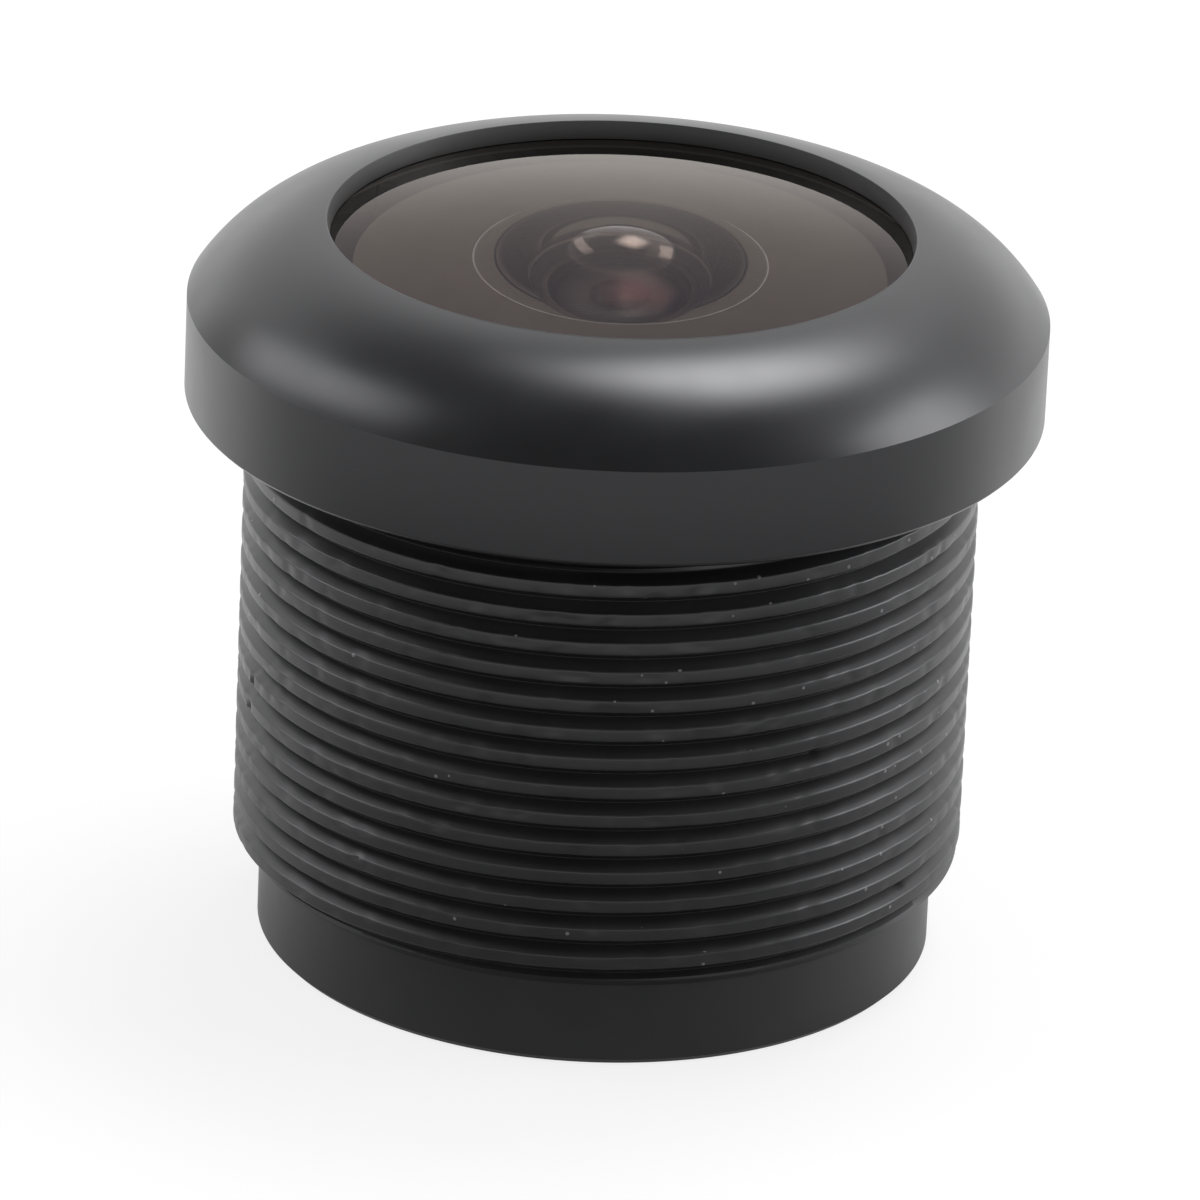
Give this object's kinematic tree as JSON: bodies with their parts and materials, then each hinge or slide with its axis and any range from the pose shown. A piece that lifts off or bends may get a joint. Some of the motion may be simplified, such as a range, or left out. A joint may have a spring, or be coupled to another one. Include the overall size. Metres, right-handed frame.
{
  "type": "board camera lens",
  "caption": "Fixed-focus wide-angle board lens: threaded black barrel, wide domed head with a recessed front glass, spaced inner elements and a rear filter.",
  "frame": {"origin": "centre of the barrel's rear end face, on the optical axis", "axes": "+Z along the optical axis, from the rear end to the front glass; X and Y are equal"},
  "size_m": [0.014, 0.014, 0.0125],
  "materials": {
    "barrel_anodised": "black anodised, satin, machined thread",
    "head_anodised": "black anodised, satin to semi-gloss, smooth",
    "ring_anodised": "black anodised, matt",
    "seal_rubber": "matt black",
    "front_glass": "polished, coated",
    "inner_glass": "polished, coated",
    "filter_glass": "polished, infrared-cut coating",
    "foil_black": "matt black film"
  },
  "bodies": {
    "root": {"barrel": "barrel_anodised", "front_ring": "head_anodised", "front_o_ring": "seal_rubber", "front_element": "front_glass", "stack_retainer": "ring_anodised", "front_light_shield": "foil_black", "second_element": "inner_glass", "second_spacer": "ring_anodised", "third_element": "inner_glass", "third_spacer": "ring_anodised", "aperture_stop": "foil_black", "stop_spacer": "ring_anodised", "fourth_element": "inner_glass", "rear_light_shield": "foil_black", "rear_spacer": "ring_anodised", "doublet_crown": "inner_glass", "doublet_flint": "inner_glass", "ir_cut_filter": "filter_glass", "filter_gasket": "seal_rubber", "rear_retainer": "ring_anodised"}
  },
  "joints": []
}
